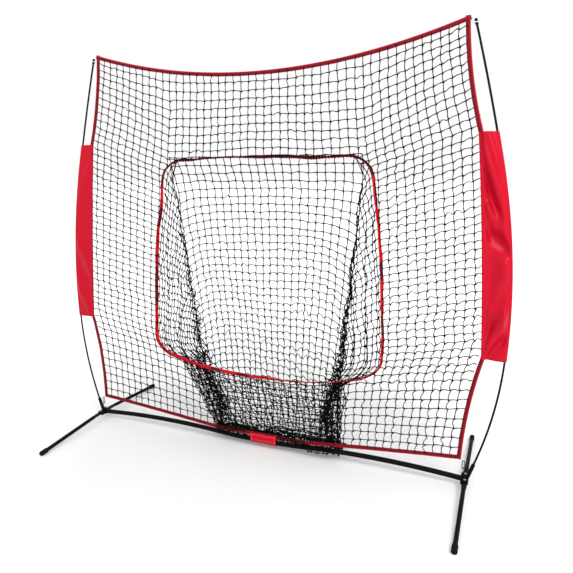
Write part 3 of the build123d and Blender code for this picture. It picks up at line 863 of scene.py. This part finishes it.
MOUTH_TAPE, MOUTH_TAPE_THICK = 0.021, 0.0022
MOUTH_STEPS = 420
MOUTH_WANDER = np.array([0.003, 0.003, 0.0025])
MOUTH_TWISTING = 0.35                             # radians either way of mouth_twist
LACED = (math.radians(40), math.radians(136))     # the part of the mouth's tape that is laced over, painted dark there as shade
LACING, LACING_PROUD, LACING_TURNS = 0.0021, 0.0030, 84
SHADE_PATCH_LEVEL = 0.12                                      # noise above this gives the rest of the tape the darker red of painted shade in places
# Degrees round the mouth, and degrees that the tape is turned there from facing the player.
TWISTS = np.array([
    (-180, -15), (-150, -5), (-100, 5), (-80, 45), (-55, 72), (-30, 62), (0, 48), (30, 56),
    (48, 60), (62, 42), (84, 40), (96, 66), (118, 72), (135, 40), (150, -5), (180, -15),
])


def mouth_twist(angle):
    return np.radians(np.interp(np.degrees(angle), TWISTS[:, 0], TWISTS[:, 1]))


def mouth_tape_frame():
    """The middle of the mouth's tape, and at each point its wide and its thin direction."""
    angle = np.linspace(-math.pi, math.pi, MOUTH_STEPS, endpoint=False)
    path = mouth_point(angle)
    path += smooth_noise(path, 0.07, 3) * MOUTH_WANDER
    along = tangents(path, closed=True)
    inward = unit(MOUTH_CENTRE + np.array([0, 0.04, 0]) - path)
    inward = unit(inward - along * (inward * along).sum(-1, keepdims=True))
    facing = np.cross(along, inward)
    facing *= np.sign(-facing[:, 1:2])
    twist = mouth_twist(angle) + MOUTH_TWISTING * smooth_noise(path, 0.06, 6)[:, 0]
    wide = inward * np.cos(twist)[:, None] + facing * np.sin(twist)[:, None]
    return angle, path, wide, np.cross(along, wide)


def make_mouth_lacing(angle, path, wide, thick, twine_black):
    """Twine wound over the mouth's tape along the top, where the netting is laced to it."""
    around = np.linspace(*LACED, LACING_TURNS * 16)
    spin = np.linspace(0, 2 * math.pi * LACING_TURNS, len(around))[:, None]
    line, across, out = (
        np.stack([np.interp(around, angle, values[:, k]) for k in range(3)], -1)
        for values in (path, wide, thick)
    )
    lacing = line + across * MOUTH_TAPE * 0.51 * np.cos(spin) + out * LACING_PROUD * np.sin(spin)
    draft = Draft()
    add_tube(draft, lacing, LACING, 4)
    return draft.finish("mouth_lacing", [twine_black], ())


def make_mouth_tape(materials, twine_black):
    """A narrow soft tape round the mouth, twisted by the netting that is laced to it."""
    angle, path, wide, thick = mouth_tape_frame()
    half, deep = MOUTH_TAPE / 2, MOUTH_TAPE_THICK / 2
    edge_in, middle = half * 0.9, deep * 1.3
    section = [(-half, 0), (-edge_in, deep), (0, middle), (edge_in, deep)]
    section = np.array(section + [(-across, -depth) for across, depth in section])
    points = path[:, None] + wide[:, None] * section[None, :, :1] + thick[:, None] * section[None, :, 1:]
    faces = grid_faces(len(path), len(section), wrap_rows=True, wrap_columns=True)
    # Under the lacing along the top, and in noise patches, the tape takes its second material, the darker
    # red: painted shade.
    laced = (angle > LACED[0]) & (angle < LACED[1])
    dark = laced | (smooth_noise(path, 0.09, 9)[:, 0] > SHADE_PATCH_LEVEL)
    draft = Draft()
    draft.add(points, [face[::-1] for face in faces], [int(dark[face[0] // len(section)]) for face in faces])
    piece = draft.finish("mouth_tape", materials, ["mouth_binding"])
    lacing = make_mouth_lacing(angle, path, wide, thick, twine_black)
    path_length(path)


# ---- side panels ----

PANEL_LOW, PANEL_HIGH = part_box("right_side_panel")[0].z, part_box("right_side_panel")[1].z
ROD_NODES = ["right_rod_%s_section" % place for place in ("lower", "middle", "upper")]
ROD_END = 0.004           # nearer than this to a section's end, its cut isn't a whole one


def rod_centre(z):
    """The right rod's axis at a height, from whichever section is there."""
    for name in ROD_NODES:
        low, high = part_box(name)
        if low.z + ROD_END < z < high.z - ROD_END:
            cut = crossing(name, (0, 0, z), (0, 0, 1))
            return (cut.max(0) + cut.min(0)) / 2
    return None


ROD_HEIGHTS = np.linspace(PANEL_LOW - 0.02, PANEL_HIGH + 0.02, 60)
ROD_POINTS = [(z, rod_centre(z)) for z in ROD_HEIGHTS]
ROD_POINTS = np.array([(z, p[0], p[1]) for z, p in ROD_POINTS if p is not None])


def rod_x(z):
    return np.interp(z, ROD_POINTS[:, 0], ROD_POINTS[:, 1])


def rod_y(z):
    return np.interp(z, ROD_POINTS[:, 0], ROD_POINTS[:, 2])


SLEEVE = 0.0082           # radius of the cloth's sleeve round the rod
FLAT_STEPS, SLEEVE_STEPS, PANEL_STEPS = 30, 14, 150
SLEEVE_TURN = (math.radians(-100), math.radians(235))     # round the rod from its front
PANEL_THICK = 0.0008
PANEL_LAP, PANEL_CLEAR = 0.020, 0.0050                    # over the net's tape, and in front of it
PANEL_CREASE = 0.0015
FOLD_DEPTH = {"right": 2.1, "left": 1.3}
FOLD_SOFT = 2.2           # how far a fold's slopes reach, in half widths
PANEL_HELD = 0.14         # the share of the flat part that the tape holds still
PANEL_TALL = 9.0          # how many times taller than wide the flat part is

# Folds of a panel: from (across, up) to (across, up), half width, and height towards the player.
PANEL_FOLDS = {
    "right": [
        ((0.0, 1.02), (0.95, 0.62), 0.11, 0.012), ((0.45, 1.02), (1.05, 0.76), 0.10, 0.008),
        ((0.0, 0.92), (0.70, 0.62), 0.10, -0.011), ((0.25, 0.68), (1.0, 0.56), 0.10, 0.010),
        ((0.15, 0.58), (1.0, 0.49), 0.12, -0.012), ((0.85, 0.44), (0.60, 0.22), 0.24, 0.013),
        ((0.45, 0.46), (0.20, 0.28), 0.17, -0.011), ((0.0, 0.02), (1.0, 0.22), 0.10, 0.010),
        ((0.0, 0.08), (0.9, 0.34), 0.10, -0.009), ((0.1, -0.02), (0.9, 0.10), 0.09, -0.007),
    ],
    "left": [
        ((0.1, 0.85), (0.9, 0.72), 0.20, 0.004), ((0.0, 0.30), (0.9, 0.44), 0.12, 0.007),
        ((0.0, 0.18), (0.9, 0.32), 0.11, -0.006), ((0.1, 0.02), (1.0, 0.20), 0.10, 0.006),
    ],
}


def fold_height(name, u, v, tall):
    """How far the folds push a panel's cloth, u across and v up it."""
    push = np.zeros(np.broadcast(u, v).shape)
    for (u0, v0), (u1, v1), half, height in PANEL_FOLDS[name]:
        run = np.array([u1 - u0, (v1 - v0) * tall])
        along = ((u - u0) * run[0] + (v - v0) * tall * run[1]) / (run @ run)
        near = np.clip(along, 0, 1)
        off = np.hypot(u - u0 - near * run[0], (v - v0) * tall - near * run[1])
        push = push + height * np.exp(-(off / (half * FOLD_SOFT)) ** 2)
    return push


def panel_row(z):
    """The right panel's cloth at a height: from over the net's tape to the rod's front, and round it."""
    x0, y0 = side_x(z) - PANEL_LAP, net_y(z) - PANEL_CLEAR
    turn = np.linspace(*SLEEVE_TURN, SLEEVE_STEPS)
    sleeve_x, sleeve_y = rod_x(z) + SLEEVE * np.cos(turn), rod_y(z) + SLEEVE * np.sin(turn)
    u = np.linspace(0, 1, FLAT_STEPS)
    flat_x = x0 + (sleeve_x[0] - x0) * u
    flat_y = y0 + (sleeve_y[0] - y0) * (1 - (1 - u) ** 2)
    x, y = np.r_[flat_x, sleeve_x[1:]], np.r_[flat_y, sleeve_y[1:]]
    return np.stack([x, y, np.full_like(x, z)], -1)


def make_side_panel(name, side, materials):
    """Satin cloth from the net's tape to the rod, with folds where the rod's bow pulls it."""
    v = np.linspace(0, 1, PANEL_STEPS)[:, None]
    grid = np.array([panel_row(z) for z in np.linspace(PANEL_LOW, PANEL_HIGH, PANEL_STEPS)])
    u = np.clip(np.arange(grid.shape[1]) / (FLAT_STEPS - 1), 0, 1)[None, :]
    free = np.sin(math.pi * np.clip((u - PANEL_HELD) / (1 - PANEL_HELD), 0, 1)) ** 0.8
    creases = smooth_noise(grid.reshape(-1, 3) * np.array([1, 1, 0.35]), 0.05, 11 + side)[:, 1]
    folds = fold_height(name, u, v, PANEL_TALL) * np.clip(free * 1.5, 0, 1)
    grid[..., 1] += PANEL_CREASE * creases.reshape(grid.shape[:2]) * free - FOLD_DEPTH[name] * folds
    grid[..., 0] *= side
    draft = Draft()
    thick_sheet(draft, grid[:, ::side], PANEL_THICK, [0] * grid.shape[1])
    # Stitches along the panel's edge by the net, in the darker red that paints the tapes' shade: dark thread,
    # and partly painted shade along the seam.
    add_stitches(draft, grid[:, 1], np.zeros(3), PANEL_THICK, 0.0, 1, step=0.014, length=0.006)
    piece = draft.finish(name + "_panel_cloth", materials, [name + "_side_panel"])
    path_length(grid[PANEL_STEPS // 2])


# ---- strap and loops ----


STRAP_THICK = 0.0018
STRAP_CLEAR = 0.0150      # from the bar's axis to the strap's middle
STRAP_INNER = -0.0088     # depth of its leg behind the hem
STRAP_ROWS, STRAP_COLUMNS = 90, 76
STRAP_FRONT = 60          # its rows from here on are the leg in front
STRAP_SOFT = {"depth": 0.0011, "height": 0.0022}
RIB, ROWS_A_RIB = 0.00035, 5
SEWN = {"step": 0.0055, "length": 0.0034}


def strap_line():
    """The strap's route seen from its end: down behind the hem, round the bar, and up again in front."""
    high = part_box("centre_strap")[1]
    bar_low, bar_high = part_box("crossbar_joining_spigot")
    bar_z, clear = (bar_low.z + bar_high.z) / 2, STRAP_CLEAR
    turn = np.radians(np.linspace(40, -180, 18))
    line = [(STRAP_INNER, high.z - 0.002), (STRAP_INNER, bar_z + 0.026), (0.006, bar_z + 0.0195)]
    line += [(clear * math.cos(a), bar_z + clear * math.sin(a)) for a in turn]
    line += [(-clear - 0.0006, bar_z + 0.018), (-clear - 0.0004, bar_z + 0.034)]
    line += [(-clear + 0.002, high.z - 0.003)]
    return np.array([(0, y, z) for y, z in line])


def make_strap(materials):
    """Webbing round the bar and the hem, ribbed across, with a stitched border."""
    low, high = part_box("centre_strap")
    middle, half = (low.x + high.x) / 2, (high.x - low.x) / 2 - 0.0005
    line = along_path(strap_line())(np.linspace(0, 1, STRAP_ROWS))
    grid = np.repeat(line[:, None], STRAP_COLUMNS, axis=1)
    grid[..., 0] = middle + np.linspace(-half, half, STRAP_COLUMNS)
    soft = smooth_noise(grid.reshape(-1, 3), 0.04, 4).reshape(grid.shape)
    grid[..., 1] += soft[..., 1] * STRAP_SOFT["depth"]
    grid[..., 2] += soft[..., 2] * STRAP_SOFT["height"] * (grid[..., 2] > high.z - 0.04)
    grid[..., 1] -= RIB * np.cos(2 * math.pi * np.arange(STRAP_ROWS) / ROWS_A_RIB)[:, None]
    draft = Draft()
    thick_sheet(draft, grid, STRAP_THICK, [0] * STRAP_COLUMNS)
    front = grid[STRAP_FRONT:]
    for edge in (front[:, 4], front[:, -5], front[6], front[-6]):
        add_stitches(draft, edge, np.zeros(3), 0.0012, 0.0, 1, **SEWN)
    piece = draft.finish("centre_strap_webbing", materials, ["centre_strap"])
    round(path_length(line), 3)


def elastic_loop(name, node, cord, material):
    """A braided elastic loop that fills its CAD node's box: two straight runs and two half turns."""
    low, high = (np.array(v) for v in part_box(node))
    centre, size = (low + high) / 2, high - low
    long_axis, short_axis = int(np.argmax(size)), int(np.argmin(size))
    wide_axis = 3 - long_axis - short_axis
    bend = size[wide_axis] / 2 - cord
    run = size[long_axis] / 2 - size[wide_axis] / 2
    turn = np.linspace(0, 2 * math.pi, 48, endpoint=False)
    path = np.tile(centre, (len(turn), 1))
    path[:, wide_axis] += bend * np.sin(turn) * (1 + 0.06 * np.sin(3 * turn))
    path[:, long_axis] += bend * np.cos(turn) + run * np.clip(2.5 * np.cos(turn), -1, 1)
    path[:, short_axis] += 0.2 * cord * np.sin(2 * turn)
    draft = Draft()
    add_tube(draft, path, cord, 8, closed=True)
    draft.finish(name, [material], [node])


SAME_POINT = 1e-6


def make_snap_spring(material):
    """The button's leaf spring, its points welded where they meet: its lower arm rests on the tube."""
    node = "crossbar_snap_spring"
    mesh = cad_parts[node].data.copy()
    welded = bmesh.new()
    welded.from_mesh(mesh)
    bmesh.ops.remove_doubles(welded, verts=welded.verts, dist=SAME_POINT)
    welded.to_mesh(mesh)
    welded.free()
    mesh.materials.clear()
    mesh.materials.append(material)
    leaf = new_object("snap_spring_leaf", mesh)
    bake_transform(leaf)
    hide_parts(node)


# ---- materials ----


def new_material(name, specular):
    """A material, and a socket that gives each point's place in metres."""
    material = bpy.data.materials.new(name)
    material.use_nodes = True
    nodes = material.node_tree.nodes
    nodes["Principled BSDF"].inputs["Specular IOR Level"].default_value = specular
    return material, nodes.new("ShaderNodeTexCoord").outputs["Object"]


def noise_socket(material, place, scale, detail):
    texture = material.node_tree.nodes.new("ShaderNodeTexNoise")
    texture.inputs["Scale"].default_value = scale
    texture.inputs["Detail"].default_value = detail
    material.node_tree.links.new(place, texture.inputs["Vector"])
    return texture.outputs["Fac"]


def vary(material, patches, dark, light, rough):
    """Colour and roughness, each between two values as a socket says."""
    nodes, links = material.node_tree.nodes, material.node_tree.links
    shader = nodes["Principled BSDF"]
    colour = nodes.new("ShaderNodeMix")
    colour.data_type = "RGBA"
    colour.inputs["A"].default_value = (*dark, 1)
    colour.inputs["B"].default_value = (*light, 1)
    links.new(patches, colour.inputs["Factor"])
    links.new(colour.outputs["Result"], shader.inputs["Base Color"])
    level = nodes.new("ShaderNodeMapRange")
    level.inputs["To Min"].default_value, level.inputs["To Max"].default_value = rough
    links.new(patches, level.inputs["Value"])
    links.new(level.outputs["Result"], shader.inputs["Roughness"])


def raise_grain(material, height, strength, distance):
    """A grain as high as a socket says, up to a distance in metres."""
    nodes, links = material.node_tree.nodes, material.node_tree.links
    raised = nodes.new("ShaderNodeBump")
    raised.inputs["Strength"].default_value = strength
    raised.inputs["Distance"].default_value = distance
    links.new(height, raised.inputs["Height"])
    links.new(raised.outputs["Normal"], nodes["Principled BSDF"].inputs["Normal"])


GRAIN_HIGH = 0.0005


def surface_material(name, dark, light, scale, rough, metallic=0.0, bump=0.2, bump_scale=None,
                     stretch=(1, 1, 1), specular=0.5):
    """Colour and roughness that vary between two values with noise, and a fine raised grain."""
    material, place = new_material(name, specular)
    nodes, links = material.node_tree.nodes, material.node_tree.links
    nodes["Principled BSDF"].inputs["Metallic"].default_value = metallic
    mapping = nodes.new("ShaderNodeMapping")
    mapping.inputs["Scale"].default_value = stretch
    links.new(place, mapping.inputs["Vector"])
    place = mapping.outputs["Vector"]
    vary(material, noise_socket(material, place, scale, 6), dark, light, rough)
    raise_grain(material, noise_socket(material, place, bump_scale or scale * 12, 3), bump, GRAIN_HIGH)
    return material


WAVE_UNIT = 20 / math.pi      # half waves that a wave texture has in a metre at scale 1


def woven_material(name, dark, light, pitch, rough, specular, bump=0.5, patch_scale=9.0):
    """Cloth: a weave of two crossed bands at a pitch in metres, with soft changes of colour."""
    material, place = new_material(name, specular)
    nodes, links = material.node_tree.nodes, material.node_tree.links
    weave = nodes.new("ShaderNodeMath")
    weave.operation = "MULTIPLY"
    for socket, axis in zip(weave.inputs, "XZ"):
        band = nodes.new("ShaderNodeTexWave")
        band.bands_direction = axis
        band.inputs["Scale"].default_value = 1 / (pitch * WAVE_UNIT)
        band.inputs["Distortion"].default_value = 0.4
        links.new(place, band.inputs["Vector"])
        links.new(band.outputs["Fac"], socket)
    vary(material, noise_socket(material, place, patch_scale, 5), dark, light, rough)
    raise_grain(material, weave.outputs["Value"], bump, pitch * 0.3)
    return material


def grey(level):
    return (level, level, level)


COATING = {"bump": 0.25, "bump_scale": 900, "specular": 0.03}
METAL = {"metallic": 1.0, "bump": 0.1, "bump_scale": 700}
BRAID = {"bump": 0.6, "bump_scale": 900}


def make_materials():
    """Each material by its key: dark and light colour, scale or pitch, least and most roughness."""
    surface, woven = surface_material, woven_material
    near_black = (0.009, 0.009, 0.010)
    return {
        "steel_black": surface("powder_coated_steel", grey(0.003), (0.008, 0.008, 0.009), 30, (0.35, 0.5),
                               **COATING),
        "zinc": surface("zinc_plated_steel", (0.42, 0.43, 0.45), (0.62, 0.63, 0.65), 60, (0.25, 0.45),
                        **METAL),
        "spring": surface("spring_steel", (0.22, 0.22, 0.24), (0.34, 0.35, 0.37), 60, (0.25, 0.4), **METAL),
        "nylon": surface("nylon_washer", (0.55, 0.55, 0.52), (0.68, 0.68, 0.65), 80, (0.5, 0.7)),
        "rubber": surface("black_rubber", grey(0.005), grey(0.012), 50, (0.65, 0.9), bump=0.4,
                          bump_scale=1200, specular=0.03),
        "fibreglass": surface("black_fibreglass", grey(0.003), near_black, 60, (0.3, 0.45), bump=0.15,
                              bump_scale=400, stretch=(1, 1, 0.06), specular=0.03),
        "twine": surface("black_twine", grey(0.002), near_black, 120, (0.8, 0.95), bump=0.8,
                         bump_scale=1500, specular=0.02),
        # Two copies of one red tape, a darker and a lighter. The lighter paints light on the tapes' rounded
        # folds. The darker paints shade on their flaps, and on the mouth's tape under its lacing and in
        # patches. The panels' stitches also take the darker red.
        "tape_shaded": woven("dark_red_tape", (0.09, 0.001, 0.004), (0.15, 0.001, 0.007), 0.0012, (0.5, 0.7),
                           0.12),
        "tape_lit": woven("lit_red_tape", (0.27, 0.002, 0.010), (0.38, 0.003, 0.016), 0.0012,
                            (0.45, 0.65), 0.15),
        "mouth_red": woven("mouth_red_tape", (0.36, 0.001, 0.005), (0.56, 0.003, 0.011), 0.0010, (0.5, 0.7),
                           0.12),
        "thread": surface("red_thread", (0.40, 0.01, 0.03), (0.60, 0.03, 0.06), 200, (0.6, 0.8)),
        "pale_thread": surface("pale_thread", (0.75, 0.35, 0.38), (0.9, 0.55, 0.58), 200, (0.6, 0.8)),
        "cloth": woven("red_satin_cloth", (0.40, 0.002, 0.012), (0.50, 0.003, 0.020), 0.0006, (0.26, 0.36),
                       0.10, bump=0.25, patch_scale=5),
        "strap": woven("red_webbing", (0.44, 0.002, 0.014), (0.56, 0.004, 0.022), 0.0016, (0.5, 0.7), 0.10),
        "elastic_white": surface("white_elastic", (0.70, 0.70, 0.69), (0.86, 0.86, 0.85), 150, (0.6, 0.8),
                                 **BRAID),
        "elastic_black": surface("black_elastic", grey(0.012), grey(0.035), 150, (0.6, 0.85), **BRAID),
    }


CAD_MATERIALS = {
    "steel_black": ["crossbar_tube", "leg", "hub_bracket", "rod_socket", "corner_hook"],
    "zinc": ["crossbar_joining_spigot", "crossbar_snap_button", "spigot_rivet", "leg_pivot_bolts",
             "leg_pivot_lock_nuts", "ferrule"],
    "nylon": ["leg_pivot_washers"],
    "rubber": ["foot", "rod_tip_cap"],
    "fibreglass": ["lower_section", "middle_section", "upper_section"],
}


def paint_cad_nodes(materials):
    """Gives each CAD node that stays in sight the material its name calls for."""
    for node_name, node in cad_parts.items():
        for material, endings in CAD_MATERIALS.items():
            if any(node_name.endswith(ending) for ending in endings):
                node.data.materials.clear()
                node.data.materials.append(materials[material])


# ---- stage ----


FLOOR_HALF = 60.0
GLOW_FROM, GLOW_TO = (0.9, 3.0), (0.06, 0.5)      # metres from the middle, and the floor's own light there
LAMPS = {"key": ((3.4, -3.2, 4.4), 2.2, 200), "fill": ((-3.4, -2.8, 3.0), 3.0, 15)}      # place, size, watts
LAMPS_AIM = Vector((0, 0, 0.9))


def make_floor():
    """A wide pale floor that brightens into the white sky away from the net."""
    mesh = bpy.data.meshes.new("floor")
    corners = [(x * FLOOR_HALF, y * FLOOR_HALF, 0) for x, y in ((-1, -1), (1, -1), (1, 1), (-1, 1))]
    mesh.from_pydata(corners, [], [(0, 1, 2, 3)])
    paint = surface_material("white_floor", grey(0.74), grey(0.76), 2, (0.8, 0.9), bump=0.0)
    nodes, links = paint.node_tree.nodes, paint.node_tree.links
    place, glow = nodes.new("ShaderNodeTexCoord"), nodes.new("ShaderNodeMapRange")
    distance = nodes.new("ShaderNodeVectorMath")
    distance.operation = "LENGTH"
    links.new(place.outputs["Object"], distance.inputs[0])
    links.new(distance.outputs["Value"], glow.inputs["Value"])
    glow.inputs["From Min"].default_value, glow.inputs["From Max"].default_value = GLOW_FROM
    glow.inputs["To Min"].default_value, glow.inputs["To Max"].default_value = GLOW_TO
    nodes["Principled BSDF"].inputs["Emission Color"].default_value = (1, 1, 1, 1)
    links.new(glow.outputs["Result"], nodes["Principled BSDF"].inputs["Emission Strength"])
    mesh.materials.append(paint)
    new_object("floor", mesh)


def make_light():
    """A white sky and two soft lamps."""
    world = bpy.data.worlds.new("white_sky")
    bpy.context.scene.world = world
    world.use_nodes = True
    world.node_tree.nodes["Background"].inputs["Color"].default_value = (1, 1, 1, 1)
    world.node_tree.nodes["Background"].inputs["Strength"].default_value = 1.0
    for name, (place, size, power) in LAMPS.items():
        data = bpy.data.lights.new(name, "AREA")
        data.size, data.energy = size, power
        lamp = new_object(name, data)
        lamp.location = place
        lamp.rotation_euler = (LAMPS_AIM - Vector(place)).to_track_quat("-Z", "Y").to_euler()
    bpy.context.scene.view_settings.view_transform = "Standard"


# ---- everything ----


TAPE_WIDTHS = {"top": 0.019, "hem": 0.020, "side": 0.020}
LOOPS = {"corner": (0.002, "black"), "tip": (0.0015, "white")}      # radius of the elastic, and its colour


def main():
    materials = make_materials()
    twine = materials["twine"]
    paint_cad_nodes(materials)
    make_front_net(twine)
    make_pocket_back(twine)
    # The tapes' folds in the lighter red and their flaps in the darker red: painted light and painted shade
    # on one tape.
    tapes = [materials["tape_lit"], materials["tape_shaded"], materials["thread"]]
    edges = (("top", -1.0, "top_binding", 1), ("hem", 1.0, "bottom_binding", 2))
    for kind, up, node, seed in edges:
        make_tape(kind + "_tape", edge_path(kind), (0.0, 0.0, up), TAPE_WIDTHS[kind], [node], tapes, seed)
    for name, side in SIDES.items():
        make_gusset(name, side, GUSSET_COLUMNS[name], twine)
        make_seam(name, side, twine, *SEAM_STRANDS[name])
        path = edge_path("side") * np.array([side, 1, 1])
        make_tape(name + "_side_tape", path, (-side, 0.0, 0.0), TAPE_WIDTHS["side"],
                  [name + "_side_binding"], tapes, 3 + side)
        make_side_panel(name, side, [materials["cloth"], materials["tape_shaded"]])
        for place, (cord, colour) in LOOPS.items():
            elastic_loop("%s_%s_elastic" % (name, place), "%s_%s_loop" % (name, place), cord,
                         materials["elastic_" + colour])
    make_bag(twine)
    make_mouth_tape([materials["mouth_red"], materials["tape_shaded"]], twine)
    make_strap([materials["strap"], materials["pale_thread"]])
    make_snap_spring(materials["spring"])
    make_floor()
    make_light()


main()
